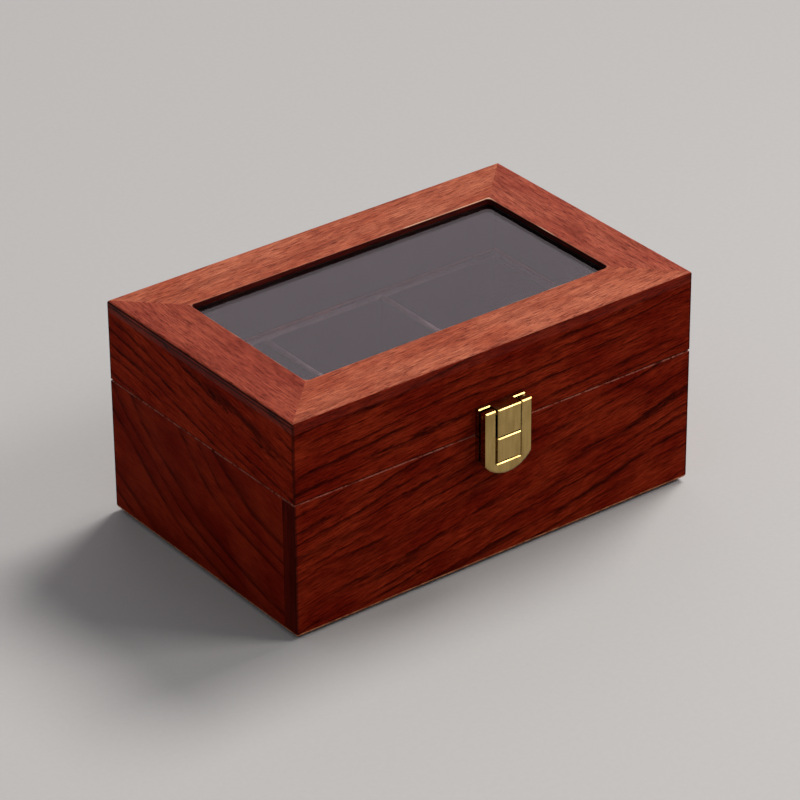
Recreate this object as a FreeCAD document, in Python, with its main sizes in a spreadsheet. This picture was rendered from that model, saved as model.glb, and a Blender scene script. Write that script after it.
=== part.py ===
import FreeCAD, Part
import math
import os
import re

import Sketcher
from FreeCAD import Rotation, Vector

# A watch box with a glazed lid, a lined base with three loose pillows, two stop hinges and a snap latch.
# Millimetres. +Z is up, the front of the box faces -Y, and the origin is the centre of its underside.

DIMENSIONS = {
    # the wooden case
    "width": 200, "depth": 126, "height": 98,
    "rim": 61.5,  # the top edge of the base
    "seam": 0.2,  # the gap between the closed lid and the base
    "board": 8, "bottom_thickness": 4, "felt": 1, "felt_inset": 3,
    "foot_round": 2, "top_round": 1.2, "seam_chamfer": 0.5, "corner_ease": 0.4,
    # the lining and the dividers of the base
    "lining": 2.5, "floor_lining": 1, "lining_drop": 1.5, "lining_round": 0.9,
    "divider": 3, "divider_round": 1.4,
    # the loose pillows
    "pillow_width": 50, "pillow_length": 80, "pillow_height": 44, "pillow_back": 6,
    "pillow_lift": 0.2, "pillow_round": 18, "pillow_end_round": 7,
    # the glazed top of the lid
    "rail": 24, "rail_thickness": 5, "lip": 2.5, "lip_round": 0.5, "rebate": 4,
    "glass": 2, "glass_play": 0.5, "gasket": 0.5, "gasket_width": 2.5,
    "retainer": 1.5, "retainer_width": 15, "lid_lining": 1.2, "lid_lining_drop": 1,
    # the hinges
    "hinge_offset": 60, "hinge_length": 20, "leaf": 0.9, "leaf_depth": 7,
    "barrel": 1.9, "barrel_gap": 0.2, "knuckle_gap": 0.2, "hinge_pin": 0.8, "pin_play": 0.05,
    "heel": 4, "stop_bottom": 4.4, "stop_top": 2.2, "stop_face": 0.42,
    # the screws of the hinges and of the latch
    "screw_head": 1.7, "screw_head_height": 0.85, "screw_shank": 0.85, "screw_length": 6,
    "screw_play": 0.05, "screw_slot": 0.45, "screw_slot_depth": 0.4,
    "hinge_screw_offset": 6, "hinge_screw_inset": 3.7, "latch_screw_offset": 9.3,
    "latch_screw_above": 6.1, "latch_screw_below": 7.8,
    # the latch
    "latch_width": 23.2, "latch_plate": 2.4, "latch_gap": 0.2,
    "flap_rear": 3.6, "flap_front": 7, "flap_top": 12.2, "flap_straight": 12, "flap_bottom": 17.9,
    "flap_bar": 5, "flap_ease": 0.5, "flap_heel": 0.8, "latch_ease": 0.4, "panel_top": 0.75,
    "window_bottom": 12.4, "window_round": 0.8, "moat": 0.8, "moat_floor": 5.6, "panel_root": 0.3,
    "lug_width": 11.6, "lug_face": 7.5, "lug_top": 12.3, "lug_bottom": 0.25,
    "groove": 4.6, "groove_floor": 5.1, "rib": 4, "rib_face": 4.8, "rib_top": 2.6, "rib_bottom": 9.6,
    "latch_pin": 0.9, "latch_pin_out": 5.2, "latch_pin_drop": 2.2, "latch_pin_inset": 0.2,
    "latch_plate_drop": 11.4,
    # how far a cutter runs past the solid that it cuts
    "past": 1,
}

# Places worked out from the driving dimensions, as expressions.
SIDE, FRONT, BACK = "width / 2", "-depth / 2", "depth / 2"
INSIDE_X, INSIDE_Y = "(width / 2 - board)", "(depth / 2 - board)"
FLOOR = "(felt + bottom_thickness)"
LINED_FLOOR = "(felt + bottom_thickness + floor_lining)"
LINING_TOP = "(rim - lining_drop)"
COMPARTMENT = "((width - 2 * board - 2 * lining - 2 * divider) / 3)"
LID_BOTTOM, RAIL_BOTTOM = "(rim + seam)", "(height - rail_thickness)"
GLASS_TOP = "(height - lip)"
GLASS_X = "(width / 2 - rail + rebate - glass_play)"
GLASS_Y = "(depth / 2 - rail + rebate - glass_play)"
PIN_Y, PIN_Z = "(depth / 2 + barrel_gap + barrel)", "(rim + seam / 2)"
SEAM_Z = "(rim + seam / 2)"

doc = FreeCAD.newDocument("watch_box")
sheet = doc.addObject("Spreadsheet::Sheet", "Dims")
for row, (alias, size) in enumerate(DIMENSIONS.items(), start=1):
    sheet.set(f"A{row}", alias)
    sheet.set(f"B{row}", str(size))
    sheet.setAlias(f"B{row}", alias)
doc.recompute()

nodes = []


def bound(expression):
    """The expression with each driving dimension read from the sheet."""
    return re.sub(r"[a-z_]+", lambda word: f"Dims.{word.group()}", str(expression))


def number(expression):
    return float(sheet.evalExpression(bound(expression)))


def node(solid, name):
    """Marks a finished sub-part and gives it the name of its file."""
    solid.Label = name
    nodes.append(solid)
    return solid


def place(solid, point):
    for axis, expression in zip("xyz", point):
        solid.setExpression(f"Placement.Base.{axis}", bound(expression))


def block(name, low, high):
    """A box between two corners."""
    solid = doc.addObject("Part::Box", name)
    for size, a, b in zip(("Length", "Width", "Height"), low, high):
        solid.setExpression(size, bound(f"({b}) - ({a})"))
    place(solid, low)
    return solid


TURNS = {
    "+X": Rotation(Vector(0, 1, 0), 90),
    "+Y": Rotation(Vector(1, 0, 0), -90),
    "+Z": Rotation(),
    "-Z": Rotation(Vector(1, 0, 0), 180),
}


def turned(solid, direction, point):
    """Turns a solid that is made along +Z to another direction, with its start at the point."""
    solid.Placement.Rotation = TURNS[direction]
    place(solid, point)
    return solid


def rod(name, start, direction, radius, length):
    solid = doc.addObject("Part::Cylinder", name)
    solid.setExpression("Radius", bound(radius))
    solid.setExpression("Height", bound(length))
    return turned(solid, direction, start)


def fuse(name, *solids):
    made = doc.addObject("Part::MultiFuse", name)
    made.Shapes = list(solids)
    made.Refine = True
    return made


def cut(name, base, *tools):
    made = doc.addObject("Part::Cut", name)
    made.Base = base
    made.Tool = tools[0] if len(tools) == 1 else fuse(f"{name}_cuts", *tools)
    made.Refine = True
    return made


def common(name, base, tool):
    made = doc.addObject("Part::Common", name)
    made.Base, made.Tool = base, tool
    return made


def group(name, *solids):
    made = doc.addObject("Part::Compound", name)
    made.Links = list(solids)
    return made


def new_sketch(body, name, plane):
    sketch = body.newObject("Sketcher::SketchObject", name)
    support = next(f for f in body.Origin.OriginFeatures if f.Role == plane)
    sketch.AttachmentSupport = [(support, "")]
    sketch.MapMode = "FlatFace"
    return sketch


def pin_vertex(sketch, line, name, point):
    """Holds the first end of a line at a point of two expressions."""
    for kind, expression in zip(("DistanceX", "DistanceY"), point):
        constraint = Sketcher.Constraint(kind, -1, 1, line, 1, number(expression))
        sketch.renameConstraint(sketch.addConstraint(constraint), f"{name}_{kind[-1]}")
        sketch.setExpression(f"Constraints.{name}_{kind[-1]}", bound(expression))


def polygon(sketch, points):
    """A closed outline of straight lines through points of two expressions each."""
    corners = [Vector(number(x), number(y), 0) for x, y in points]
    for i, corner in enumerate(corners):
        sketch.addGeometry(Part.LineSegment(corner, corners[(i + 1) % len(corners)]), False)
    for i in range(len(corners)):
        sketch.addConstraint(Sketcher.Constraint("Coincident", i, 2, (i + 1) % len(corners), 1))
    for i, point in enumerate(points):
        pin_vertex(sketch, i, f"corner_{i}", point)


def rectangle(x, y):
    """The corners of a rectangle with half sizes x and y about the origin."""
    return [(f"-({x})", f"-({y})"), (x, f"-({y})"), (x, y), (f"-({x})", y)]


def add_pad(body, sketch, length, midplane=False):
    pad = body.newObject("PartDesign::Pad", f"{sketch.Name}_pad")
    pad.Profile = sketch
    pad.Midplane = midplane
    pad.setExpression("Length", bound(length))
    doc.recompute()
    return pad


def dress(body, kind, size, wanted):
    """A PartDesign fillet or chamfer on the edges of the body's tip whose middle point is wanted."""
    tip = body.Tip
    edges = [
        f"Edge{i}"
        for i, edge in enumerate(tip.Shape.Edges, start=1)
        if wanted(edge.CenterOfMass, edge)
    ]
    feature = body.newObject(f"PartDesign::{kind}", f"{body.Name}_{kind}")
    feature.Base = (tip, edges)
    feature.setExpression({"Fillet": "Radius", "Chamfer": "Size"}[kind], bound(size))
    doc.recompute()
    return feature


def at(value, expression):
    return abs(value - number(expression)) < 1e-4


def prism(name, outline, bottom, top):
    """A body with an outline in plan, between two heights."""
    body = doc.addObject("PartDesign::Body", name)
    sketch = new_sketch(body, f"{name}_plan", "XY_Plane")
    polygon(sketch, outline)
    add_pad(body, sketch, f"({top}) - ({bottom})")
    place(body, ("0", "0", bottom))
    return body


SIDES = {
    "front": ((-1, -1), (1, -1)),
    "back": ((-1, 1), (1, 1)),
    "left": ((-1, -1), (-1, 1)),
    "right": ((1, -1), (1, 1)),
}


def mitred(side, x, y, deep):
    """The plan of one of four mitred members round a rectangle with half sizes x and y."""
    outer, inner = (x, y), (f"({x}) - ({deep})", f"({y}) - ({deep})")

    def corner(half, signs):
        return tuple(f"{sign} * ({size})" for sign, size in zip(signs, half))

    first, second = SIDES[side]
    return [corner(outer, first), corner(outer, second), corner(inner, second), corner(inner, first)]


def screw_form(name, point, direction, play):
    """The outside of a countersunk screw, as the screw itself or, with play, as the hole that takes it."""
    head = doc.addObject("Part::Cone", f"{name}_head")
    head.setExpression("Radius1", bound(f"screw_head + {play}"))
    head.setExpression("Radius2", bound(f"screw_shank + {play}"))
    head.setExpression("Height", bound("screw_head_height"))
    turned(head, direction, point)
    shank = rod(f"{name}_shank", point, direction, f"screw_shank + {play}", f"screw_length + {play}")
    return fuse(f"{name}_form", head, shank)


def screw(name, point, direction):
    """A countersunk screw with a slot across its head."""
    x, y, z = point
    if direction == "+Y":
        low = (f"{x} - screw_head", y, f"{z} - screw_slot / 2")
        high = (f"{x} + screw_head", f"{y} + screw_slot_depth", f"{z} + screw_slot / 2")
    else:
        inward = 1 if direction == "+Z" else -1
        ends = (z, f"{z} + {inward} * screw_slot_depth")
        bottom, top = ends if inward > 0 else ends[::-1]
        low = (f"{x} - screw_head", f"{y} - screw_slot / 2", bottom)
        high = (f"{x} + screw_head", f"{y} + screw_slot / 2", top)
    return cut(name, screw_form(name, point, direction, "0"), block(f"{name}_slot", low, high))


def case_form(name, bottom, top, round_height, radius, seam_height):
    """The outside of the glued-up base or lid: rounded over, chamfered at the seam, corners eased."""
    form = prism(name, rectangle(SIDE, BACK), bottom, top)
    dress(form, "Fillet", radius, lambda centre, edge: at(centre.z, f"{round_height} - ({bottom})"))
    dress(form, "Chamfer", "seam_chamfer", lambda centre, edge: at(centre.z, f"{seam_height} - ({bottom})"))

    def upright(centre, edge):
        return edge.BoundBox.ZLength > 10 and edge.BoundBox.DiagonalLength - edge.BoundBox.ZLength < 1e-4

    dress(form, "Fillet", "corner_ease", upright)
    return form


def hinge_points(x, z):
    """Where the two screws of a hinge leaf go in."""
    y = "depth / 2 - hinge_screw_inset"
    return [(f"{x} + {sign} * hinge_screw_offset", y, z) for sign in (-1, 1)]


HINGES = {"left": "-hinge_offset", "right": "hinge_offset"}
LEAF_START = "depth / 2 - leaf_depth"


def leaf_mortise(name, x, bottom, top):
    """The recess that a hinge leaf lies in, open at the back."""
    reach = "(hinge_length / 2 + screw_play)"
    low = (f"{x} - {reach}", f"{LEAF_START} - screw_play", bottom)
    return block(name, low, (f"{x} + {reach}", f"{BACK} + past", top))


def base_boards():
    """The front runs the full width, the sides run from it to the back, and the back is let in between."""
    form = case_form("base_form", "felt", "rim", "felt", "foot_round", "rim")
    spans = {
        "front": ((f"-({SIDE})", FRONT), (SIDE, f"-{INSIDE_Y}")),
        "back": ((f"-{INSIDE_X}", INSIDE_Y), (INSIDE_X, BACK)),
        "left": ((f"-({SIDE})", f"-{INSIDE_Y}"), (f"-{INSIDE_X}", BACK)),
        "right": ((INSIDE_X, f"-{INSIDE_Y}"), (SIDE, BACK)),
    }
    for side, (low, high) in spans.items():
        name = f"base_{side}_board"
        board = common(f"{name}_shape", block(f"{name}_blank", (*low, "felt"), (*high, "rim")), form)
        holes = []
        if side == "front":
            for i, point in enumerate(latch_points("-latch_screw_below")):
                holes.append(screw_form(f"{name}_hole_{i}", point, "+Y", "screw_play"))
        if side == "back":
            for hinge, x in HINGES.items():
                holes.append(leaf_mortise(f"{name}_{hinge}_mortise", x, "rim - leaf", "rim + past"))
                for i, (px, py, pz) in enumerate(hinge_points(x, "rim - screw_head_height")):
                    point = (px, py, "rim - leaf / 2")
                    holes.append(
                        rod(
                            f"{name}_{hinge}_hole_{i}", point, "-Z", "screw_shank + screw_play",
                            "screw_length - leaf / 2 + screw_play",
                        )
                    )
        node(cut(f"{name}_cut", board, *holes) if holes else board, name)


def base_inside():
    """Bottom panel, felt, card lining and dividers."""
    low, high = (f"-{INSIDE_X}", f"-{INSIDE_Y}"), (INSIDE_X, INSIDE_Y)
    node(block("bottom", (*low, "felt"), (*high, FLOOR)), "bottom_panel")
    node(block("floor", (*low, FLOOR), (*high, LINED_FLOOR)), "floor_lining")
    felt_x, felt_y = "width / 2 - felt_inset", "depth / 2 - felt_inset"
    node(prism("felt", rectangle(felt_x, felt_y), "0", "felt"), "base_felt")
    lined_y = f"({INSIDE_Y} - lining)"
    for side, sign in (("front", -1), ("back", 1)):
        middle = f"{sign} * ({INSIDE_Y} - lining / 2)"
        wall(f"{side}_lining", (INSIDE_X, "lining / 2"), (0, middle), "lining_round")
    for side, sign in (("left", -1), ("right", 1)):
        middle = f"{sign} * ({INSIDE_X} - lining / 2)"
        wall(f"{side}_lining", ("lining / 2", lined_y), (middle, 0), "lining_round")
        middle = f"{sign} * ({COMPARTMENT} + divider) / 2"
        wall(f"{side}_divider", ("divider / 2", lined_y), (middle, 0), "divider_round")


def wall(name, half, middle, radius):
    """An upright lining board or divider with a soft top edge."""
    body = prism(f"{name}_body", rectangle(*half), LINED_FLOOR, LINING_TOP)
    along = 0 if number(half[0]) > number(half[1]) else 1
    top = f"{LINING_TOP} - {LINED_FLOOR}"

    def long_top_edge(centre, edge):
        return at(centre.z, top) and abs(centre[along]) < 1e-4

    dress(body, "Fillet", radius, long_top_edge)
    place(body, (*middle, LINED_FLOOR))
    node(body, name)


def pillows():
    """Three loose oval cushions, each a plain closed form."""
    for name, step in (("left", -1), ("middle", 0), ("right", 1)):
        body = doc.addObject("PartDesign::Body", f"{name}_pillow_body")
        sketch = new_sketch(body, f"{name}_pillow_section", "YZ_Plane")
        polygon(sketch, rectangle("pillow_length / 2", "pillow_height / 2"))
        add_pad(body, sketch, "pillow_width", midplane=True)
        dress(body, "Fillet", "pillow_round", lambda c, e: abs(c.x) < 1e-4)
        dress(body, "Fillet", "pillow_end_round", lambda c, e: abs(c.x) > number("pillow_width") / 2 - 1e-4)
        height = f"{LINED_FLOOR} + pillow_lift + pillow_height / 2"
        place(body, (f"{step} * ({COMPARTMENT} + divider)", "pillow_back", height))
        node(body, f"{name}_pillow")


def lid_boards():
    """Four mitred boards below four mitred top rails, which are rebated for the glass."""
    form = case_form("lid_form", LID_BOTTOM, "height", "height", "top_round", LID_BOTTOM)
    for side in SIDES:
        name = f"lid_{side}_board"
        plan = mitred(side, SIDE, BACK, "board")
        board = common(f"{name}_shape", prism(f"{name}_blank", plan, LID_BOTTOM, RAIL_BOTTOM), form)
        holes = []
        if side == "front":
            for i, point in enumerate(latch_points("latch_screw_above")):
                holes.append(screw_form(f"{name}_hole_{i}", point, "+Y", "screw_play"))
        if side == "back":
            for hinge, x in HINGES.items():
                top = f"{LID_BOTTOM} + leaf"
                holes.append(leaf_mortise(f"{name}_{hinge}_mortise", x, f"{LID_BOTTOM} - past", top))
                for i, point in enumerate(hinge_points(x, f"{LID_BOTTOM} + leaf / 2")):
                    holes.append(
                        rod(
                            f"{name}_{hinge}_hole_{i}", point, "+Z", "screw_shank + screw_play",
                            "screw_length - leaf / 2 + screw_play",
                        )
                    )
        node(cut(f"{name}_cut", board, *holes) if holes else board, name)
        node(common(f"top_rail_{side}_shape", rail(side), form), f"top_rail_{side}")


def rail(side):
    """A top rail with its lip over the glass and its rebate below."""
    name = f"top_rail_{side}_body"
    body = prism(name, mitred(side, SIDE, BACK, "rail"), GLASS_TOP, "height")
    step = new_sketch(body, f"{name}_step", "XY_Plane")
    step.setExpression("AttachmentOffset.Base.z", bound("lip - rail_thickness"))
    polygon(step, mitred(side, SIDE, BACK, "rail - rebate"))
    add_pad(body, step, "rail_thickness - lip")
    across = 1 if side in ("front", "back") else 0
    opening = number(BACK if across else SIDE) - number("rail")

    def lip_edge(centre, edge):
        return at(centre.z, "lip") and abs(abs(centre[across]) - opening) < 1e-4

    dress(body, "Fillet", "lip_round", lip_edge)
    return body


def glazing():
    """The pane under the rails' lips, the tape under it and the strips that hold both from below."""
    low, high = (f"-{GLASS_X}", f"-{GLASS_Y}"), (GLASS_X, GLASS_Y)
    under_glass = f"({GLASS_TOP} - glass)"
    node(block("pane", (*low, under_glass), (*high, GLASS_TOP)), "glass_pane")
    tape_bottom = f"{under_glass} - gasket"
    inner_x, inner_y = f"({GLASS_X} - gasket_width)", f"({GLASS_Y} - gasket_width)"
    tape = block("tape", (*low, tape_bottom), (*high, under_glass))
    inner_low, inner_high = (f"-{inner_x}", f"-{inner_y}"), (inner_x, inner_y)
    window = block("tape_window", (*inner_low, tape_bottom), (*inner_high, under_glass))
    node(cut("tape_ring", tape, window), "glass_gasket")
    strip_bottom = f"{RAIL_BOTTOM} - retainer"
    for side in SIDES:
        plan = mitred(side, INSIDE_X, INSIDE_Y, "retainer_width")
        node(prism(f"retainer_{side}_body", plan, strip_bottom, RAIL_BOTTOM), f"retainer_{side}")
        plan = mitred(side, INSIDE_X, INSIDE_Y, "lid_lining")
        bottom = f"{LID_BOTTOM} + lid_lining_drop"
        node(prism(f"lid_{side}_lining_body", plan, bottom, strip_bottom), f"lid_{side}_lining")


def hinge_leaf(side, kind, x):
    """One leaf of a stop hinge: plate in its mortise, knuckles round the pin, and the heel or the stop."""
    name = f"{side}_hinge_{kind}_leaf"
    is_base = kind == "base"
    bottom, top = ("rim - leaf", "rim") if is_base else (LID_BOTTOM, f"{LID_BOTTOM} + leaf")
    plate_end = "depth / 2 - barrel_gap / 2"
    low, high = (f"{x} - hinge_length / 2", LEAF_START, bottom), (f"{x} + hinge_length / 2", plate_end, top)
    solids = [block(f"{name}_plate", low, high)]
    for k in (0, 2, 4) if is_base else (1, 3):
        start = f"({x} + ({k} / 5 - 0.5) * hinge_length + knuckle_gap / 2)"
        length = "(hinge_length / 5 - knuckle_gap)"
        end = f"({start} + {length})"
        solids.append(rod(f"{name}_knuckle_{k}", (start, PIN_Y, PIN_Z), "+X", "barrel", length))
        web_low, web_high = (start, f"{plate_end} - 0.1", bottom), (end, PIN_Y, top)
        solids.append(block(f"{name}_web_{k}", web_low, web_high))
        if is_base:
            link_low = (start, BACK, f"{PIN_Z} - stop_bottom")
            solids.append(block(f"{name}_link_{k}", link_low, (end, f"{PIN_Y} - stop_face", "rim - leaf")))
        else:
            heel_high = (end, f"{PIN_Y} + heel", top)
            solids.append(block(f"{name}_heel_{k}", (start, PIN_Y, bottom), heel_high))
    if is_base:
        stop_low = (f"{x} - hinge_length / 2", BACK, f"{PIN_Z} - stop_bottom")
        stop_high = (f"{x} + hinge_length / 2", f"{PIN_Y} - stop_face", f"{PIN_Z} - stop_top")
        solids.append(block(f"{name}_stop", stop_low, stop_high))
    bore_start = (f"{x} - hinge_length", PIN_Y, PIN_Z)
    holes = [rod(f"{name}_bore", bore_start, "+X", "hinge_pin + pin_play", "2 * hinge_length")]
    surface, direction = ("rim", "-Z") if is_base else (LID_BOTTOM, "+Z")
    for i, point in enumerate(hinge_points(x, surface)):
        holes.append(screw_form(f"{name}_hole_{i}", point, direction, "screw_play"))
    node(cut(f"{name}_cut", fuse(f"{name}_whole", *solids), *holes), name)


def hinges():
    for side, x in HINGES.items():
        hinge_leaf(side, "base", x)
        hinge_leaf(side, "lid", x)
        start = (f"{x} - hinge_length / 2", PIN_Y, PIN_Z)
        node(rod(f"{side}_pin", start, "+X", "hinge_pin", "hinge_length"), f"{side}_hinge_pin")
    for kind, surface, direction in (("base", "rim", "-Z"), ("lid", LID_BOTTOM, "+Z")):
        screws = [
            screw(f"{side}_hinge_{kind}_screw_{i}", point, direction)
            for side, x in HINGES.items()
            for i, point in enumerate(hinge_points(x, surface))
        ]
        node(group(f"{kind}_screws", *screws), f"hinge_{kind}_screws")


def latch_points(height):
    """Where the two screws of a latch plate go in, at a height above the seam."""
    y = "-depth / 2 - latch_plate"
    return [(f"{sign} * latch_screw_offset", y, f"{SEAM_Z} + {height}") for sign in (-1, 1)]


def out(distance):
    """A place this far in front of the box's front face."""
    return f"(-depth / 2 - ({distance}))"


def latch_block(name, half_width, rear, face, bottom, top):
    """A block of the latch, between two distances out of the front face and two heights above the seam."""
    low = (f"-({half_width})", out(face), f"{SEAM_Z} + {bottom}")
    return block(name, low, (half_width, out(rear), f"{SEAM_Z} + {top}"))


def eased(name, kind, size, solid, wanted):
    """The solid with a Part fillet or chamfer on its edges whose middle point is wanted."""
    doc.recompute()
    feature = doc.addObject(f"Part::{kind}", name)
    feature.Base = solid
    feature.Edges = [
        (i, number(size), number(size))
        for i, edge in enumerate(solid.Shape.Edges, start=1)
        if wanted(edge.CenterOfMass, edge)
    ]
    doc.recompute()
    return feature


def latch_rod(name, radius, length):
    start = (f"-({length}) / 2", out("latch_pin_out"), f"{SEAM_Z} + flap_top - latch_pin_drop")
    return rod(name, start, "+X", radius, length)


def latch_plates():
    half = "latch_width / 2"
    upper = latch_block("lid_plate", half, "0", "latch_plate", "latch_gap + seam / 2", "lug_top")
    lug = latch_block("lug", "lug_width / 2", "latch_plate", "lug_face", "-lug_bottom", "lug_top")
    holes = [latch_rod("lug_bore", "latch_pin + pin_play", "latch_width")]
    for i, point in enumerate(latch_points("latch_screw_above")):
        holes.append(screw_form(f"lid_plate_hole_{i}", point, "+Y", "screw_play"))

    def outer_edge(centre, edge):
        top = at(centre.z, f"{SEAM_Z} + lug_top")
        return at(centre.y, out("lug_face")) or top and at(centre.y, out("latch_plate"))

    whole = fuse("lid_plate_whole", upper, lug)
    whole = eased("lid_plate_eased", "Chamfer", "latch_ease", whole, outer_edge)
    node(cut("lid_plate_cut", whole, *holes), "latch_lid_plate")

    lower = latch_block("base_plate", half, "0", "latch_plate", "-latch_plate_drop", "-latch_gap - seam / 2")
    rib = latch_block("snap_rib", "rib / 2", "latch_plate", "rib_face", "-rib_bottom", "-rib_top")
    holes = []
    for i, point in enumerate(latch_points("-latch_screw_below")):
        holes.append(screw_form(f"base_plate_hole_{i}", point, "+Y", "screw_play"))
    node(cut("base_plate_cut", fuse("base_plate_whole", lower, rib), *holes), "latch_base_plate")

    for kind, height in (("lid", "latch_screw_above"), ("base", "-latch_screw_below")):
        points = enumerate(latch_points(height))
        screws = [screw(f"latch_{kind}_screw_{i}", point, "+Y") for i, point in points]
        node(group(f"latch_{kind}_screw_pair", *screws), f"latch_{kind}_screws")
    node(latch_rod("flap_pin", "latch_pin", "latch_width - 2 * latch_pin_inset"), "latch_pin")


def flap_outline():
    """The flap's outside: straight sides, square top and one arc across the bottom."""
    body = doc.addObject("PartDesign::Body", "flap_body")
    sketch = new_sketch(body, "flap_front_view", "XZ_Plane")
    half, drop = number("latch_width / 2"), number("flap_bottom - flap_straight")
    top, shoulder = number("flap_top"), -number("flap_straight")
    radius = (half**2 + drop**2) / (2 * drop)
    centre = shoulder - drop + radius
    lean = math.atan2(centre - shoulder, half)
    circle = Part.Circle(Vector(0, centre, 0), Vector(0, 0, 1), radius)
    corners = [(half, shoulder), (half, top), (-half, top), (-half, shoulder)]
    for start, end in zip(corners, corners[1:]):
        sketch.addGeometry(Part.LineSegment(Vector(*start, 0), Vector(*end, 0)), False)
    sketch.addGeometry(Part.ArcOfCircle(circle, math.pi + lean, 2 * math.pi - lean), False)
    for line in (0, 1):
        sketch.addConstraint(Sketcher.Constraint("Coincident", line, 2, line + 1, 1))
    sketch.addConstraint(Sketcher.Constraint("Coincident", 2, 2, 3, 1))
    sketch.addConstraint(Sketcher.Constraint("Coincident", 3, 2, 0, 1))
    pin_vertex(sketch, 0, "right_shoulder", ("latch_width / 2", "-flap_straight"))
    pin_vertex(sketch, 1, "right_top", ("latch_width / 2", "flap_top"))
    pin_vertex(sketch, 2, "left_top", ("-latch_width / 2", "flap_top"))
    pin_vertex(sketch, 3, "left_shoulder", ("-latch_width / 2", "-flap_straight"))
    bow = sketch.addConstraint(Sketcher.Constraint("Radius", 3, radius))
    sketch.renameConstraint(bow, "bow")
    dip, reach = "(flap_bottom - flap_straight)", "(latch_width / 2)"
    sketch.setExpression("Constraints.bow", bound(f"({reach} * {reach} + {dip} * {dip}) / (2 * {dip})"))
    add_pad(body, sketch, "flap_front - flap_rear")
    dress(body, "Chamfer", "flap_ease", lambda c, e: at(c.y, "flap_rear - flap_front"))
    dress(body, "Chamfer", "flap_heel", lambda c, e: at(c.y, "0") and at(c.z, "flap_top"))
    place(body, ("0", out("flap_rear"), SEAM_Z))
    return body


def latch_flap():
    """The U-shaped flap: open round the lug, with a proud panel in a moat below it and a groove behind."""
    window, panel = "latch_width / 2 - flap_bar", "lug_width / 2"
    behind, before, below = "flap_rear - past", "flap_front + past", "-flap_bottom - past"
    sunk = latch_block("flap_sunk", window, "moat_floor", before, "-window_bottom", "-panel_top")

    def lower_corner(centre, edge):
        return at(centre.z, f"{SEAM_Z} - window_bottom") and abs(centre.x) > number(window) - 1e-4

    cuts = [
        latch_block("flap_window", window, behind, before, "-panel_top", "flap_top + past"),
        eased("flap_moat", "Fillet", "window_round", sunk, lower_corner),
        latch_block("flap_groove", "groove / 2", behind, "groove_floor", below, "-panel_top"),
        latch_rod("flap_bore", "latch_pin + pin_play", "latch_width + 2 * past"),
    ]
    panel_rear, panel_bottom = "moat_floor - panel_root", "-window_bottom + moat"
    raised = latch_block("flap_panel", panel, panel_rear, "lug_face", panel_bottom, "-panel_top")

    def front_edge(centre, edge):
        below_top = centre.z < number(f"{SEAM_Z} + flap_top - flap_ease")
        on_bars = at(centre.y, out("flap_front")) and abs(centre.x) < number(window) + 1e-4
        on_panel = at(centre.y, out("lug_face"))
        return below_top and (on_bars or on_panel)

    whole = fuse("flap_whole", cut("flap_cut", flap_outline(), *cuts), raised)
    node(eased("flap_eased", "Chamfer", "latch_ease", whole, front_edge), "latch_flap")


base_boards()
base_inside()
pillows()
lid_boards()
glazing()
hinges()
latch_plates()
latch_flap()
doc.recompute()

failed = [f"{o.Name} {o.State}" for o in doc.Objects if {"Invalid", "Error"} & set(o.State)]
for solid in nodes:
    if solid.Shape.isNull() or not solid.Shape.isValid() or solid.Shape.Volume <= 0:
        failed.append(f"{solid.Label} has no sound shape")
if failed:
    raise SystemExit("\n".join(failed))

os.makedirs("parts", exist_ok=True)
for solid in nodes:
    solid.Shape.exportStep(f"parts/{solid.Label}.step")
    print(f"{solid.Label}: {len(solid.Shape.Solids)} solid(s), {solid.Shape.Volume / 1000:.2f} cm3")
print(len(nodes), "nodes")
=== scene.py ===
"""Looks for a watch box with a glazed lid: lacquered veneer, brass, glass and velvet on the CAD frame."""

import math

import bmesh
import bpy
import numpy as np
from mathutils import Matrix, Vector, noise
from mathutils.bvhtree import BVHTree


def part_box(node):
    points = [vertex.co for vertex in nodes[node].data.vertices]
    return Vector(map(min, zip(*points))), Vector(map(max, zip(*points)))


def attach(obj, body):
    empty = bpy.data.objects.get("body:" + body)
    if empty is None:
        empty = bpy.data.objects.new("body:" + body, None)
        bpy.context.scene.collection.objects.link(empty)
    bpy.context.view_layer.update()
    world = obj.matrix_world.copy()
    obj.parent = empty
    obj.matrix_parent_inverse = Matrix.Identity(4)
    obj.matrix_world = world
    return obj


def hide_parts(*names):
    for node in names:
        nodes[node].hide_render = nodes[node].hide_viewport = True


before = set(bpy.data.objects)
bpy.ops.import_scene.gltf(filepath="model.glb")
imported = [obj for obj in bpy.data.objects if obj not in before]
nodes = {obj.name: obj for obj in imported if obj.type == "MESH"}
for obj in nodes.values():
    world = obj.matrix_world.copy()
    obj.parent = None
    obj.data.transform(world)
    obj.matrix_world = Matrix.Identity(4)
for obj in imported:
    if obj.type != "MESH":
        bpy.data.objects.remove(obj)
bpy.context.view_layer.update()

MM = 0.001
BOX_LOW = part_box("base_front_board")[0].copy()
BOX_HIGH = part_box("top_rail_back")[1].copy()
OPENING = Vector((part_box("top_rail_right")[0].x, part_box("top_rail_back")[0].y))  # half sizes, over the glass
SEAM = (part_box("base_front_board")[1].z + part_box("lid_front_board")[0].z) / 2  # height between base and lid


# ---------------------------------------------------------------- node arithmetic


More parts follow.
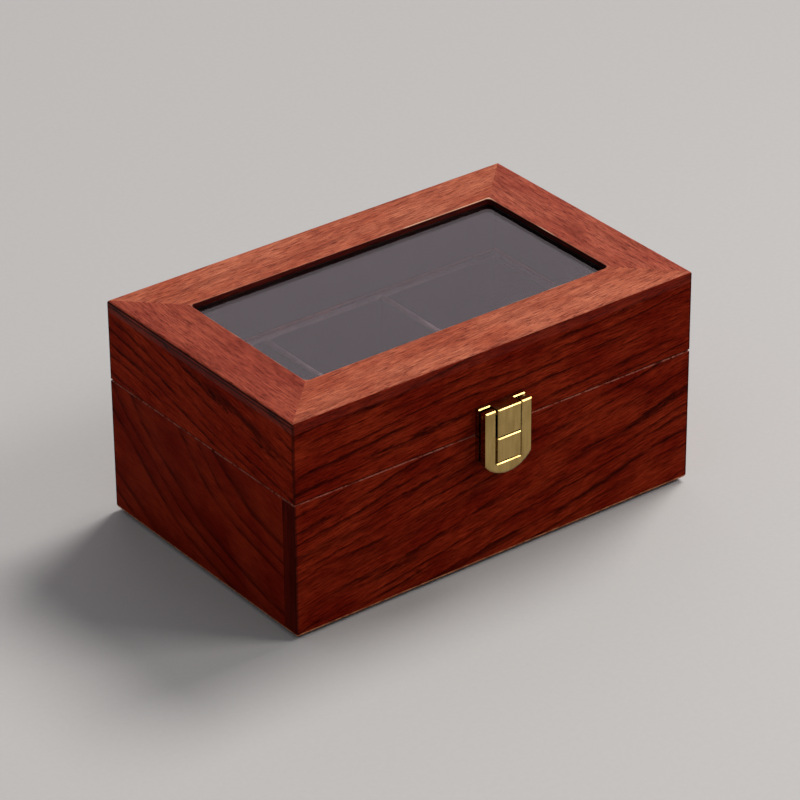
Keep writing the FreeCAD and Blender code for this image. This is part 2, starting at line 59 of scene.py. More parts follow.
class Field:
    """A value that varies over a surface: the output of a shader node, combined by plain arithmetic."""

    def __init__(self, socket):
        self.socket = socket
        self.tree = socket.id_data

    def math(self, operation, *others):
        node = self.tree.nodes.new("ShaderNodeMath")
        node.operation = operation
        for slot, value in zip(node.inputs, (self, *others)):
            put(slot, value)
        return Field(node.outputs[0])

    def __add__(self, other):
        return self.math("ADD", other)

    def __sub__(self, other):
        return self.math("SUBTRACT", other)

    def __mul__(self, other):
        return self.math("MULTIPLY", other)

    def __truediv__(self, other):
        return self.math("DIVIDE", other)

    def split(self):
        """The three parts of a vector field."""
        node = self.tree.nodes.new("ShaderNodeSeparateXYZ")
        put(node.inputs[0], self)
        return [Field(output) for output in node.outputs]

    def moved(self, offset, scale=1):
        """A vector field, scaled and then moved by another vector."""
        node = self.tree.nodes.new("ShaderNodeVectorMath")
        node.operation = "MULTIPLY_ADD"
        put(node.inputs[0], self)
        node.inputs[1].default_value = (scale,) * 3 if isinstance(scale, (int, float)) else scale
        put(node.inputs[2], offset)
        return Field(node.outputs[0])


def put(socket, value):
    """Links a field to a socket, or sets the socket to a plain value."""
    if isinstance(value, Field):
        socket.id_data.links.new(value.socket, socket)
    else:
        socket.default_value = (*value, 1) if socket.type == "RGBA" else value


def noise_field(where, scale, detail=2.0, roughness=0.5, colour=False):
    """Noise from 0 to 1 with patches 1 / scale across, or three such noises at once, as a colour."""
    node = where.tree.nodes.new("ShaderNodeTexNoise")
    put(node.inputs["Vector"], where)
    node.inputs["Scale"].default_value = scale
    node.inputs["Detail"].default_value = detail
    node.inputs["Roughness"].default_value = roughness
    return Field(node.outputs["Color" if colour else "Fac"])


def smooth(value, low, high, to_low=0.0, to_high=1.0):
    """A smooth step of the value between two limits."""
    node = value.tree.nodes.new("ShaderNodeMapRange")
    node.interpolation_type = "SMOOTHSTEP"
    for slot, given in zip(node.inputs, (value, low, high, to_low, to_high)):
        put(slot, given)
    return Field(node.outputs[0])


def mix(factor, first, second, blend="MIX"):
    """The first colour, turned by the factor into its blend with the second."""
    node = factor.tree.nodes.new("ShaderNodeMix")
    node.data_type, node.blend_type = "RGBA", blend
    put(node.inputs[0], factor)
    put(node.inputs[6], first)
    put(node.inputs[7], second)
    return Field(node.outputs[2])


def choose(factor, first, second):
    """One of two vectors."""
    node = factor.tree.nodes.new("ShaderNodeMix")
    node.data_type = "VECTOR"
    put(node.inputs[0], factor)
    put(node.inputs[4], first)
    put(node.inputs[5], second)
    return Field(node.outputs[1])


def profile(value, stops):
    """A value read from a curve of straight stretches through (position, height) points."""
    node = value.tree.nodes.new("ShaderNodeValToRGB")
    put(node.inputs[0], value)
    ramp = node.color_ramp
    while len(ramp.elements) < len(stops):
        ramp.elements.new(0.5)
    for element, (position, height) in zip(ramp.elements, stops):
        element.position = position
        element.color = (height, height, height, 1)
    return Field(node.outputs[0])


def new_material(name):
    """A material with its shader, and the fields of place and direction on the surface at rest."""
    material = bpy.data.materials.new(name)
    material.use_nodes = True
    tree = material.node_tree
    shader = tree.nodes["Principled BSDF"]
    place = tree.nodes.new("ShaderNodeTexCoord")
    return material, shader, Field(place.outputs["Object"]), Field(place.outputs["Normal"])


def dress(shader, **values):
    """Sets the shader's sockets, named with underscores."""
    for name, value in values.items():
        put(shader.inputs[name.replace("_", " ")], value)


def bump(shader, height, depth, strength=1.0):
    """Raises the surface by the height field times a depth in metres."""
    node = height.tree.nodes.new("ShaderNodeBump")
    node.inputs["Strength"].default_value = strength
    node.inputs["Distance"].default_value = depth
    put(node.inputs["Height"], height)
    put(shader.inputs["Normal"], Field(node.outputs[0]))


# ---------------------------------------------------------------- objects


def placed(name, data):
    """A new object in the scene that holds the data."""
    thing = bpy.data.objects.new(name, data)
    bpy.context.scene.collection.objects.link(thing)
    return thing


def finished(name, mesh):
    """A new object from an edited mesh, whose faces all look outward."""
    bmesh.ops.recalc_face_normals(mesh, faces=mesh.faces)
    data = bpy.data.meshes.new(name)
    mesh.to_mesh(data)
    mesh.free()
    return placed(name, data)


def cover(materials):
    """Gives CAD nodes their materials."""
    for name, material in materials.items():
        for slot in nodes[name].material_slots:
            slot.material = material


# ---------------------------------------------------------------- wood

# A place on each veneer's log, in mm, and how the log is turned, in degrees. The growth rings lie round
# the line through that place along the log's own X.
LOGS = {
    "front_lid": ((0, 5, -150), (0, -4, 0)),
    "front_base": ((30, 5, -120), (0, -9, 0)),
    "back": ((0, -5, -150), (0, -5, 0)),
    "left_lid": ((-60, 0, 187), (0, 12, -90)),
    "left_base": ((-100, -45, 68), (0, 16, -58)),
    "left_fibres": ((0, 0, 0), (0, 17, -90)),
    "right": ((40, 0, -140), (0, 8, 90)),
    "rail_x": ((0, 0, 30), (0, 2, 4)),
    "rail_y": ((0, 0, 20), (2, 0, 87)),
    "end": ((0, 0, 0), (0, 90, 0)),
}


def in_log(place, log):
    """The place in mm along and across a log, whose fibres run along its own X."""
    location, turn = LOGS[log]
    node = place.tree.nodes.new("ShaderNodeMapping")
    node.vector_type = "TEXTURE"
    put(node.inputs["Vector"], place)
    node.inputs["Location"].default_value = [value * MM for value in location]
    node.inputs["Rotation"].default_value = [math.radians(angle) for angle in turn]
    node.inputs["Scale"].default_value = (MM, MM, MM)
    return Field(node.outputs[0])


def fibre_noise(where, start, along, across, detail, roughness=0.5, colour=False):
    """Noise whose patches are 1 / along mm long and 1 / across mm wide."""
    return noise_field(where.moved(start, (along, across, across)), 1, detail, roughness, colour)


def growth_lines(where, spacing, rings):
    """Dark lines between the growth rings, which wander and fade, or calmer lines of another log."""
    bend = fibre_noise(where, (0, 0, 0), 0.012, 0.03, 1, colour=True)
    wander = fibre_noise(where, (7, 3, 1), 0.06, 0.22, 3, 0.6, colour=True)
    ragged = fibre_noise(where, (4, 2, 6), 0.3, 1.1, 2, 0.6, colour=True)
    straying, faintest = (0.3, 0.45) if rings else (1, 0.05)
    shift = ragged.moved((-8, -8, -8), 1.4 * straying)
    shift = bend.moved(wander.moved(shift, 2.6 * straying), 12)
    bent = (rings or where).moved(shift)
    _, across, up = bent.split()
    ring = (across * across + up * up).math("SQRT") / spacing
    if rings:
        uneven = (ring * 2.1).math("SINE") * 0.13
    else:
        uneven = fibre_noise(bent, (3, 9, 5), 0.002, 0.09, 2)
    phase = (ring + uneven * 2.5).math("FRACT")
    line = profile(phase, [(0, 0.2), (0.1, 0), (0.5, 0.1), (0.76, 0.5), (0.9, 1), (1, 0.2)])
    patchy = fibre_noise(where, (1, 4, 8), 0.03, 0.22, 3, 0.6)
    return line * smooth(patchy, 0.36, 0.58, faintest, 1)


def grain(where, spacing, rings=None):
    """Growth lines, fibres, flecks and mottling at a place in the wood, in mm."""
    lines = growth_lines(where, spacing, rings)
    fibres = fibre_noise(where, (0, 0, 0), 0.1, 1.4, 4, 0.75)
    flecks = fibre_noise(where, (5, 5, 5), 0.17, 1.9, 3, 0.7)
    mottle = fibre_noise(where, (2, 2, 2), 0.035, 0.06, 3)
    return lines, fibres, flecks, mottle


# The wood's colours, and how strongly its growth lines, fibres, pores and pale glints show.
FACE = {
    "light": (0.255, 0.0225, 0.0068), "deep": (0.165, 0.009, 0.003), "dark": (0.013, 0.0010, 0.0007),
    "lines": 0.92, "fibres": 0.85, "pores": 0.7, "glints": 0.5,
}
CALM = {**FACE, "lines": 0.75, "fibres": 0.6, "pores": 0.45, "glints": 0.3}
WARM = {**FACE, "light": (0.32, 0.027, 0.0075), "deep": (0.21, 0.0115, 0.0034)}
# Painted sheen: the rails' tops are lighter than the faces, standing in for light off the lacquer. Painted
# shade: the left and right tops are darker, standing in for grain that catches less light where it runs the
# other way.
TOP_X_PAINTED_SHEEN = {
    "light": (0.51, 0.145, 0.078), "deep": (0.40, 0.085, 0.042), "dark": (0.16, 0.026, 0.012),
    "lines": 0.5, "fibres": 0.7, "pores": 0.85, "glints": 0.45,
}
TOP_LEFT_PAINTED_SHEEN = {**TOP_X_PAINTED_SHEEN, "light": (0.36, 0.072, 0.04), "deep": (0.29, 0.047, 0.027)}
TOP_RIGHT_PAINTED_SHEEN = {**TOP_X_PAINTED_SHEEN, "light": (0.43, 0.104, 0.06), "deep": (0.345, 0.066, 0.038)}

# What a colour is multiplied by where a glint, a fibre or a pore is at its strongest.
GLINT, FIBRE, PORE = (1.5, 1.9, 1.8), (0.52, 0.38, 0.34), (0.34, 0.24, 0.24)

END_GRAIN = (0.05, 0.004, 0.002)
# Painted shade on the inner sides of the opening, down to the glass.
OPENING_SIDE_SHADE = (0.02, 0.006, 0.007)
CORNER_GLUE = (0.02, 0.004, 0.003)
SEAM_SHADE = (0.012, 0.002, 0.0015)
# Painted shade in lines just under the top edge of the side rails.
TOP_EDGE_SHADE = (0.016, 0.003, 0.002)
# A pale broken line on the base's edge under the seam: partly worn lacquer, partly painted highlight.
SEAM_WEAR_AND_HIGHLIGHT = (0.45, 0.15, 0.105)
# A pale line at the rounded foot: partly worn wood, partly painted highlight.
FOOT_WEAR_AND_HIGHLIGHT = (0.6, 0.24, 0.11)
# A pale broken line on the top along the opening: partly rubbed lacquer, partly painted highlight.
OPENING_WEAR_AND_HIGHLIGHT = (0.78, 0.47, 0.31)


def tinted(grains, tones):
    """The colour of the wood from its growth lines, fibres, flecks and mottling."""
    lines, fibres, flecks, mottle = grains
    body = mix(smooth(mottle, 0.3, 0.7), tones["light"], tones["deep"])
    body = mix(smooth(flecks, 0.5, 0.36) * tones["glints"], body, GLINT, "MULTIPLY")
    body = mix(smooth(fibres, 0.35, 0.65, 0, tones["fibres"]), body, FIBRE, "MULTIPLY")
    body = mix(lines * tones["lines"], body, tones["dark"])
    return mix(smooth(flecks, 0.53, 0.63, 0, tones["pores"]), body, PORE, "MULTIPLY")


def wood(name, face, top=None, tones=None, skin=FACE, spacing=6.5, end_axis=None, rings=None, top_shade_lines=0.0):
    """Lacquered veneer with the grain of one log on its outer face, and of another on its top.

    The skin is the tones of the outer face, and tones are those of the top, lighter with painted sheen. Faces
    across end_axis show end grain. The growth rings may lie round a log of their own. The last argument is how
    dark the painted shade lines just under the top edge are.
    """
    material, shader, place, normal = new_material(name)
    where = in_log(place, face)
    if rings:
        rings = in_log(place, rings)
    if top:
        is_top = normal.split()[2].math("GREATER_THAN", 0.6)
        where = choose(is_top, where, in_log(place, top))
    if end_axis is not None:
        is_end = normal.split()[end_axis].math("ABSOLUTE").math("GREATER_THAN", 0.7)
        where = choose(is_end, where, in_log(place, "end"))
    grains = grain(where, spacing, rings)
    body = tinted(grains, skin)
    if end_axis is not None:
        body = mix(is_end * 0.7, body, END_GRAIN)
    body = edge_marks(body, place, top_shade_lines)
    if top:
        body = opening_marks(body, tinted(grains, tones), is_top, place)
    _, fibres, flecks, _ = grains
    dress(shader, Base_Color=body, Roughness=smooth(fibres, 0.3, 0.7, 0.30, 0.44))
    dress(shader, Specular_IOR_Level=0.03 if top else 0.003)
    bump(shader, smooth(flecks, 0.5, 0.66) * -0.8 + fibres * 0.35, 0.07 * MM, 0.7)
    return material


def opening_marks(side, top, is_top, place):
    """Painted shade on the sides down to the glass; on the top by the opening, rubbed lacquer with painted
    highlight.
    """
    x, y, _ = place.split()
    outside = (x.math("ABSOLUTE") - OPENING.x).math("MAXIMUM", y.math("ABSOLUTE") - OPENING.y)
    # Painted shade on the faces that run down to the glass.
    side = mix(outside.math("LESS_THAN", 0.2 * MM) * 0.6, side, OPENING_SIDE_SHADE)
    edge = smooth(outside, 0.3 * MM, 0.6 * MM, 1, 0)
    # Where the pale line shows: partly rubbed lacquer, partly painted highlight.
    rubbed_and_lit = smooth(noise_field(place.moved((0.27, 0.16, 0)), 42, 2), 0.52, 0.62, 0.1, 0.75)
    return mix(is_top, side, mix(edge * rubbed_and_lit, top, OPENING_WEAR_AND_HIGHLIGHT))


def edge_marks(body, place, top_shade_lines):
    """Glue lines at corners, painted shade under the top and above the seam, worn and painted-highlight lines at
    seam and foot.
    """
    x, y, z = place.split()
    from_corner = (x.math("ABSOLUTE") * -1 + BOX_HIGH.x) + (y.math("ABSOLUTE") * -1 + BOX_HIGH.y)
    body = mix(smooth(from_corner, 0.5 * MM, 1.1 * MM, 1, 0) * 0.6, body, CORNER_GLUE)
    over_seam = z - SEAM
    shade = smooth(over_seam, 0.35 * MM, 0.8 * MM, 0.85, 0) * over_seam.math("GREATER_THAN", 0)
    body = mix(shade, body, SEAM_SHADE)
    broken = noise_field(place, 420, 3, 0.7)
    # Pale broken line just below the seam: partly worn lacquer, partly painted highlight.
    seam_wear_and_glint = smooth(over_seam, -0.6 * MM, -0.4 * MM) * over_seam.math("LESS_THAN", -0.1 * MM)
    body = mix(seam_wear_and_glint * smooth(broken, 0.36, 0.6, 0.1, 0.65), body, SEAM_WEAR_AND_HIGHLIGHT)
    # Pale line round the foot: partly worn wood, partly painted highlight.
    foot_height = BOX_LOW.z + 1.25 * MM
    foot = smooth((z - foot_height).math("ABSOLUTE"), 0.3 * MM, 0.55 * MM, 1, 0)
    body = mix(foot * smooth(broken, 0.35, 0.6, 0.25, 1), body, FOOT_WEAR_AND_HIGHLIGHT)
    # Painted shade in two lines just under the top edge.
    if top_shade_lines:
        for depth, width in ((0.75 * MM, 0.25 * MM), (2.3 * MM, 0.3 * MM)):
            from_line = (z * -1 + (BOX_HIGH.z - depth)).math("ABSOLUTE")
            line = smooth(from_line, width, width + 0.25 * MM, top_shade_lines, 0)
            body = mix(line, body, TOP_EDGE_SHADE)
    return body


def wooden_parts():
    """Every board and rail, each with the veneer that its place on the box calls for."""
    back = wood("case_wood_back", "back")
    left_top = wood("rail_wood_left", "left_lid", "rail_y", TOP_LEFT_PAINTED_SHEEN, top_shade_lines=0.85)
    right_top = wood("rail_wood_right", "right", "rail_y", TOP_RIGHT_PAINTED_SHEEN, top_shade_lines=0.85)
    cover({
        "base_front_board": wood("case_wood_front_base", "front_base", end_axis=0),
        "lid_front_board": wood("case_wood_front_lid", "front_lid"),
        "base_back_board": back, "lid_back_board": back,
        "lid_right_board": wood("case_wood_right_lid", "right"),
        "base_right_board": wood("case_wood_right_base", "right", end_axis=1),
        "lid_left_board": wood("case_wood_left_lid", "left_lid", skin=WARM),
        "base_left_board": wood(
            "case_wood_left_base", "left_fibres", skin=CALM, spacing=11, end_axis=1, rings="left_base"
        ),
        "top_rail_front": wood("rail_wood_front", "front_lid", "rail_x", TOP_X_PAINTED_SHEEN),
        "top_rail_back": wood("rail_wood_back", "back", "rail_x", TOP_X_PAINTED_SHEEN),
        "top_rail_left": left_top, "top_rail_right": right_top,
    })


def corner_fillets():
    """Small rounded fillets in the four corners of the opening, level with the rounded edge of the rails."""
    radius, edge, lip, steps = 2.2 * MM, 0.5 * MM, 2.5 * MM, 8
    level = BOX_HIGH.z - 0.004 * MM
    upright = [(0, -lip), (0, -edge)]
    for angle in (22.5, 45, 67.5, 90):
        turn = math.radians(angle)
        upright.append((edge * (1 - math.cos(turn)), edge * (math.sin(turn) - 1)))
    mesh = bmesh.new()
    for side, end in ((1, 1), (-1, 1), (-1, -1), (1, -1)):
        columns = []
        for step in range(steps + 1):
            turn = math.radians(90 * step / steps)
            columns.append([
                mesh.verts.new((
                    side * (OPENING.x - radius + (radius + out) * math.cos(turn)),
                    end * (OPENING.y - radius + (radius + out) * math.sin(turn)),
                    level + up,
                ))
                for out, up in upright
            ])
        bottom, top = (
            mesh.verts.new((side * (OPENING.x + edge), end * (OPENING.y + edge), level + up))
            for up in (-lip, 0)
        )
        for first, second in zip(columns, columns[1:]):
            for k in range(len(upright) - 1):
                mesh.faces.new((first[k], first[k + 1], second[k + 1], second[k]))
            mesh.faces.new((first[-1], top, second[-1]))
            mesh.faces.new((first[0], second[0], bottom))
        for column in (columns[0], columns[-1]):
            mesh.faces.new((*column, top, bottom))
    piece = finished("opening_corners", mesh)
    piece.data.materials.append(nodes["top_rail_back"].material_slots[0].material)
    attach(piece, "lid")


# ---------------------------------------------------------------- other materials


def brass():
    """Polished brass, upright streaks partly drawn and partly painted reflection, faint tarnish, a surface that
    isn't quite flat.
    """
    material, shader, place, _ = new_material("brass")
    streaks = noise_field(place.moved((0, 0, 0), (1, 1, 0.12)), 520, 3, 0.6)
    cloud = noise_field(place, 130, 3)
    waves = noise_field(place.moved((0, 0, 0), (1, 1, 0.45)), 210, 1)
    # Upright light and dark streaks: partly drawn-metal marks, partly painted reflection.
    tone = mix(smooth(streaks, 0.35, 0.65), (0.47, 0.322, 0.118), (0.38, 0.25, 0.085))
    dress(shader, Base_Color=mix(smooth(cloud, 0.4, 0.7, 0, 0.35), tone, (0.3, 0.19, 0.06)), Metallic=1.0)
    dress(shader, Roughness=smooth(cloud, 0.3, 0.7, 0.16, 0.3))
    bump(shader, waves + streaks * 0.06, 0.1 * MM, 0.8)
    return material


def clear_glass():
    """Clear glass, very slightly smeared."""
    material, shader, place, _ = new_material("glass")
    smear = noise_field(place, 30, 3)
    dress(shader, Base_Color=(0.93, 0.94, 0.94), Transmission_Weight=1.0, IOR=1.5)
    dress(shader, Roughness=smooth(smear, 0.35, 0.75, 0.0, 0.012))
    return material


def velvet(name, colour, edge=None, nap=1.0):
    """Short pile: dark, with a soft sheen, patches where the nap lies over, and paler edges, rubbed and with
    painted sheen.
    """
    material, shader, place, _ = new_material(name)
    pile = noise_field(place, 3000, 2, 0.7)
    lie = noise_field(place, 55, 3, 0.6)
    shade = mix(smooth(lie, 0.3, 0.7), colour, [value * 1.7 for value in colour])
    shade = mix(smooth(pile, 0.3, 0.7, 0.0, 0.08), shade, (0.45, 0.45, 0.45), "MULTIPLY")
    if edge:
        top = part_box("front_lining")[1].z
        # Paler top edge: partly rubbed pile, partly painted sheen.
        rubbed_lit_band = smooth(place.split()[2], top - 1.6 * MM, top - 0.5 * MM)
        uneven = smooth(noise_field(place, 90, 3), 0.3, 0.65, 0.6, 1)
        shade = mix(rubbed_lit_band * uneven, shade, edge)
    dress(shader, Base_Color=shade, Roughness=0.95, Specular_IOR_Level=0.1)
    dress(shader, Sheen_Weight=0.3 * nap, Sheen_Roughness=0.35, Sheen_Tint=(0.8, 0.76, 0.78))
    bump(shader, pile * 0.05 + lie * 0.5, 0.1 * MM * nap, 0.7)
    return material


def felt():
    """Matted dark felt with a fuzzy surface."""
    material, shader, place, _ = new_material("felt")
    fuzz = noise_field(place, 1400, 4, 0.7)
    matted = noise_field(place, 120, 3)
    dress(shader, Base_Color=mix(fuzz, (0.012, 0.012, 0.013), (0.05, 0.048, 0.05)), Roughness=0.95)
    dress(shader, Specular_IOR_Level=0.1, Sheen_Weight=0.3)
    bump(shader, fuzz + matted, 0.3 * MM, 0.8)
    return material


def plywood():
    """Thin plies whose edges show as stripes, with pale face grain."""
    material, shader, place, _ = new_material("plywood")
    layers = (place.split()[2] / (1.3 * MM)).math("FRACT").math("GREATER_THAN", 0.5)
    streaks = noise_field(place.moved((0, 0, 0), (0.08, 1, 1)), 900, 3, 0.6)
    face = mix(smooth(streaks, 0.3, 0.7), (0.52, 0.36, 0.2), (0.36, 0.22, 0.11))
    dress(shader, Base_Color=mix(layers * 0.4, face, (0.2, 0.1, 0.05)), Roughness=0.7)
    bump(shader, streaks, 0.05 * MM, 0.5)
    return material


def fitted_parts():
    """Everything that isn't wood: brass, glass, felt, plywood and the velvet lining."""
    metal = brass()
    brass_names = [name for name in nodes if "hinge" in name or "latch" in name]
    cover({name: metal for name in brass_names})
    cover({"glass_pane": clear_glass(), "bottom_panel": plywood()})
    matted = felt()
    cover({"base_felt": matted, "glass_gasket": matted})
    # The pale top edge of the lining is partly rubbed pile and partly painted sheen.
    black, rubbed_and_lit_edge = (0.012, 0.010, 0.012), (0.22, 0.14, 0.15)
    plain = velvet("velvet", black)
    rubbed_and_lit = velvet("velvet_edge", black, rubbed_and_lit_edge)
    for name in nodes:
        if name.startswith("retainer") or name == "floor_lining":
            cover({name: plain})
        elif name.endswith(("_lining", "_divider")):
            cover({name: plain if name.startswith("lid") else rubbed_and_lit})
    for name in brass_names:
        soften(nodes[name], 0.1 * MM)


def soften(piece, width):
    """Rounds the sharp edges of a piece a little, as tumbling does."""
    bevel = piece.modifiers.new("edges", "BEVEL")
    bevel.width, bevel.segments, bevel.limit_method = width, 2, "ANGLE"
    bevel.angle_limit = math.radians(35)
    bevel.harden_normals = False


# ---------------------------------------------------------------- pillows

SEAM_INSET = 5.2 * MM  # from the CAD pillow's end to the seam round the end panel
SWELL = 2.4 * MM  # how far the filling pushes the fabric out of its cut shape
DOME = 2.2 * MM  # how far the middle of an end panel stands out before it is filled
SQUARENESS = 0.8  # 1 cuts the sleeve to an ellipse, and less gives it squarer corners
VOXEL = 2.2 * MM  # the grid of the fabric's mesh
HELD = 1.3 * MM  # how far from the line of the seam the fabric is held while it fills
SIM_SCALE = 10  # the cloth solver works best on pieces of about half a metre
FRAMES = 20
CORD = 1.05 * MM  # radius of the piping


def oval(half_y, half_z, count):
    """Points round a rounded rectangle, from its widest point."""
    for step in range(count):
        turn = 2 * math.pi * step / count
        y, z = (math.copysign(abs(part) ** SQUARENESS, part) for part in (math.cos(turn), math.sin(turn)))
        yield half_y * y, half_z * z


def lofted(name, rings, closed_ends):
    """A mesh through rings of points with the same count, capped or joined end to start."""
    mesh = bmesh.new()
    loops = [[mesh.verts.new(point) for point in ring] for ring in rings]
    pairs = list(zip(loops, loops[1:]))
    if not closed_ends:
        pairs.append((loops[-1], loops[0]))
    for first, second in pairs:
        for i in range(len(first)):
            k = (i + 1) % len(first)
            mesh.faces.new((first[i], first[k], second[k], second[i]))
    if closed_ends:
        mesh.faces.new(loops[0][::-1])
        mesh.faces.new(loops[-1])
    piece = finished(name, mesh)
    piece.data.shade_smooth()
    return piece


def seam_size(node):
    """Half the width between the seams, and the half sizes of the oval cut, of one pillow."""
    low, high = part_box(node)
    half = (high - low) / 2
    return half.x - SEAM_INSET, half.y - SWELL, half.z - SWELL


def cut_cushion(name, node):
    """The fabric as it is cut and sewn: an oval sleeve with two slightly domed end panels."""
    half_x, half_y, half_z = seam_size(node)
    dome = [(half_x + DOME * (1 - size**2), size) for size in (0.15, 0.4, 0.65, 0.85, 1)]
    sleeve = [(half_x * step / 5, 1) for step in range(4, -5, -1)]
    stations = dome + sleeve + [(-x, size) for x, size in reversed(dome)]
    rings = [[(x, size * y, size * z) for y, z in oval(half_y, half_z, 72)] for x, size in stations]
    return lofted(name, rings, closed_ends=True)


def apply_modifiers(piece):
    """Turns what the piece's modifiers make into its own mesh."""
    graph = bpy.context.evaluated_depsgraph_get()
    made = bpy.data.meshes.new_from_object(piece.evaluated_get(graph), depsgraph=graph)
    piece.modifiers.clear()
    piece.data = made
    made.shade_smooth()


def places(piece):
    """The places of a piece's points, one to a row."""
    flat = np.empty(len(piece.data.vertices) * 3)
    piece.data.vertices.foreach_get("co", flat)
    return flat.reshape(-1, 3)


def set_places(piece, points):
    """Moves a piece's points to the rows of places."""
    piece.data.vertices.foreach_set("co", np.asarray(points, float).ravel())
    piece.data.update()


def fill_cushion(piece, node, seed):
    """Blows the sewn fabric up as cloth, held at its seams, and lets it move no further than the swell."""
    half_x, half_y, half_z = seam_size(node)
    remesh = piece.modifiers.new("even_mesh", "REMESH")
    remesh.mode, remesh.voxel_size = "VOXEL", VOXEL
    apply_modifiers(piece)
    start = places(piece)
    lumps_per_metre, lump_size = 60, 0.012
    lumps = [noise.noise(Vector(point) * lumps_per_metre + Vector((seed, 0, 0))) for point in start]
    start = start * (1 + lump_size * np.array(lumps))[:, None]
    set_places(piece, start * SIM_SCALE)
    radius = np.hypot(start[:, 1] / half_y, start[:, 2] / half_z)
    seam = (np.abs(np.abs(start[:, 0]) - half_x) < HELD) & (radius > 0.9)
    held = piece.vertex_groups.new(name="seam")
    held.add([int(i) for i in np.nonzero(seam)[0]], 1.0, "REPLACE")
    cloth = piece.modifiers.new("cloth", "CLOTH")
    settings = cloth.settings
    settings.use_pressure, settings.uniform_pressure_force = True, 4.5
    settings.effector_weights.gravity = 0
    settings.vertex_group_mass = "seam"
    settings.quality, settings.mass = 6, 0.3
    settings.tension_stiffness = settings.compression_stiffness = 12
    settings.shrink_min = -0.05
    cloth.point_cache.frame_start, cloth.point_cache.frame_end = 1, FRAMES
    for frame_number in range(1, FRAMES + 1):
        bpy.context.scene.frame_set(frame_number)
    apply_modifiers(piece)
    moved = places(piece) / SIM_SCALE - start
    length = np.linalg.norm(moved, axis=1)
    moved *= (np.minimum(length, SWELL) / np.maximum(length, 1e-9))[:, None]
    set_places(piece, start + moved)
    piece.vertex_groups.clear()
    bpy.context.scene.frame_set(1)


def seam_line(cushion, node, side):
    """Points just outside the fabric round one seam of a filled cushion."""
    half_x, half_y, half_z = seam_size(node)
    low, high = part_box(node)
    centre = (low + high) / 2 + Vector((side * half_x, 0, 0))
    fabric = BVHTree.FromPolygons(
        [Vector(point) for point in places(cushion)],
        [face.vertices[:] for face in cushion.data.polygons],
    )
    count, well_outside, clearance = 96, 1.6, 0.3 * MM
    spokes = [Vector((0, y, z)) for y, z in oval(half_y, half_z, count)]
    reach = []
    for spoke in spokes:
        touched = fabric.ray_cast(centre + spoke * well_outside, -spoke)[0]
        reach.append((touched - centre).length if touched else spoke.length)
    even = [sum(reach[(i + k) % count] for k in range(-2, 3)) / 5 for i in range(count)]
    return [centre + spoke.normalized() * (even[i] + clearance) for i, spoke in enumerate(spokes)]


def piping(name, node, cushion):
    """Two cords of the same cloth sewn round the end panels."""
    cords = []
    sideways, sides = Vector((1, 0, 0)), 10
    turns = [2 * math.pi * k / sides for k in range(sides)]
    for side, word in ((-1, "left"), (1, "right")):
        line = seam_line(cushion, node, side)
        rings = []
        for i, point in enumerate(line):
            along = (line[(i + 1) % len(line)] - line[i - 1]).normalized()
            outward = along.cross(sideways)
            thick = CORD + 0.07 * MM * math.sin(i * 2.1)
            rings.append([
                point + thick * (math.cos(turn) * outward + math.sin(turn) * sideways) for turn in turns
            ])
        cords.append(lofted(f"{name}_{word}", rings, closed_ends=False))
    return cords


def pillows():
    """Three stuffed velvet pillows in place of the plain CAD solids."""
    cloth = velvet("pillow_velvet", (0.055, 0.050, 0.056), nap=2.0)
    for seed, side in enumerate(("left", "middle", "right")):
        node = f"{side}_pillow"
        low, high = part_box(node)
        middle = (low + high) / 2
        cushion = cut_cushion(f"{side}_cushion", node)
        fill_cushion(cushion, node, seed)
        smoother = cushion.modifiers.new("smooth", "SUBSURF")
        smoother.levels = 1
        apply_modifiers(cushion)
        settling, floor_height = 0.6 * MM, low.z - 0.1 * MM
        rested = places(cushion) + np.array(middle)
        rested[:, 2] = np.maximum(rested[:, 2] - settling, floor_height)
        set_places(cushion, rested)
        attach(cushion, node)
        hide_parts(node)
        cords = piping(f"{side}_piping", node, cushion)
        for piece in cords:
            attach(piece, node)
        for piece in (cushion, *cords):
            piece.data.materials.append(cloth)


# ---------------------------------------------------------------- scene


def stand():
    """A plain pale floor that isn't part of the object."""
    bpy.ops.mesh.primitive_plane_add(size=30, location=(0, 0, -0.2 * MM))
    floor = bpy.context.object
    floor.name = "floor"
    material, shader, place, _ = new_material("floor")
    speck = noise_field(place, 400, 2)
    dress(shader, Base_Color=mix(speck, (0.47, 0.465, 0.46), (0.5, 0.495, 0.49)), Roughness=0.75)
    dress(shader, Specular_IOR_Level=0.2)
    floor.data.materials.append(material)


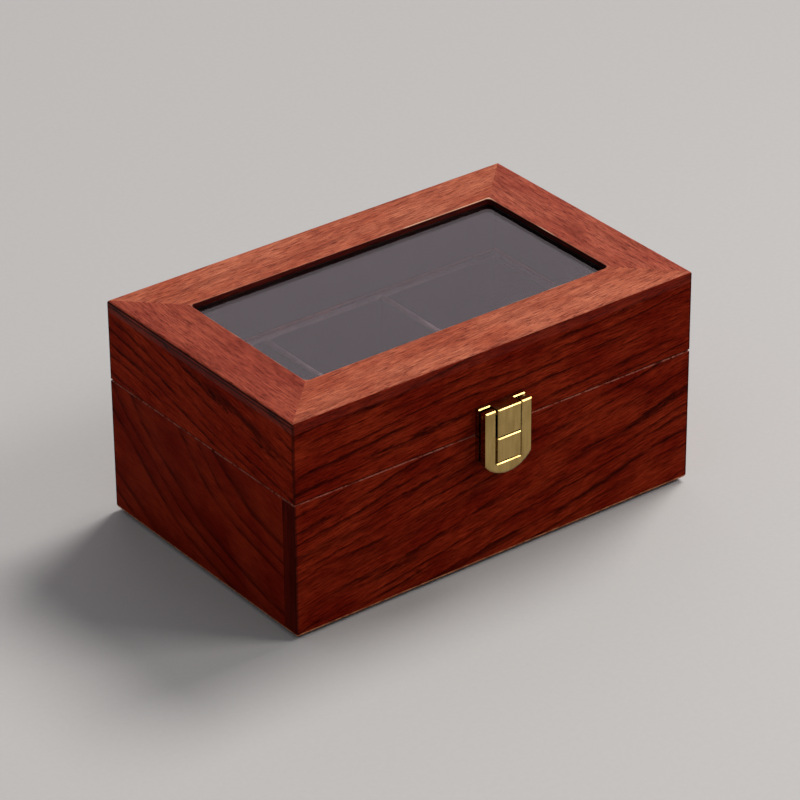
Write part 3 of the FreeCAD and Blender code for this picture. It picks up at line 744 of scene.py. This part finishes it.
def aim(thing, location, target):
    """Puts a thing at a location and turns it to look at the target."""
    thing.location = location
    thing.rotation_euler = (Vector(target) - Vector(location)).to_track_quat("-Z", "Y").to_euler()


def lamp(name, kind, location, target, energy, **settings):
    """A light of a kind, in watts, or in watts per square metre for a sun."""
    data = bpy.data.lights.new(name, kind)
    data.energy = energy
    for key, value in settings.items():
        setattr(data, key, value)
    light = placed(name, data)
    aim(light, location, target)
    return light


def studio():
    """A soft key from the right, a box light ahead, a panel that the glass mirrors, dim surroundings."""
    lamp("key", "SUN", (1.2, 0.3, 1.4), (0, 0, 0), 2.4, angle=math.radians(24), color=(1, 0.97, 0.93))
    lights = (
        lamp("panel", "AREA", (1.15, 1.5, 1.15), (0, 0, 0.1), 3.4, size=1.7, color=(1, 0.71, 0.83)),
        lamp("softbox", "AREA", (0.62, -0.6, 0.88), (0, 0, 0.05), 4.8, size=0.4, color=(1, 0.97, 0.93)),
    )
    for light in lights:
        light.visible_camera = False
    world = bpy.data.worlds.new("surroundings")
    world.use_nodes = True
    world.node_tree.nodes["Background"].inputs[0].default_value = (0.30, 0.30, 0.31, 1)
    bpy.context.scene.world = world
    bpy.context.scene.view_settings.view_transform = "Standard"


HEADING, DROP, ROLL = math.radians(37.11), math.radians(29.735), math.radians(-0.494)
STANDPOINT = Vector((-0.9019, -1.1908, 0.8983))
LENS, SENSOR = 189.56, 36  # mm


def camera():
    """The photograph's viewpoint: a long lens from the front left, looking 30 degrees down."""
    ahead = Vector((
        math.sin(HEADING) * math.cos(DROP), math.cos(HEADING) * math.cos(DROP), -math.sin(DROP),
    ))
    level = Vector((math.cos(HEADING), -math.sin(HEADING), 0))
    upward = level.cross(ahead)
    right = math.cos(ROLL) * level + math.sin(ROLL) * upward
    up = math.cos(ROLL) * upward - math.sin(ROLL) * level
    data = bpy.data.cameras.new("camera")
    data.lens, data.sensor_width = LENS, SENSOR
    view = placed("camera", data)
    turned = Matrix((right, up, -ahead)).transposed().to_4x4()
    view.matrix_world = Matrix.Translation(STANDPOINT) @ turned
    bpy.context.scene.camera = view


wooden_parts()
corner_fillets()
fitted_parts()
pillows()
stand()
studio()
camera()
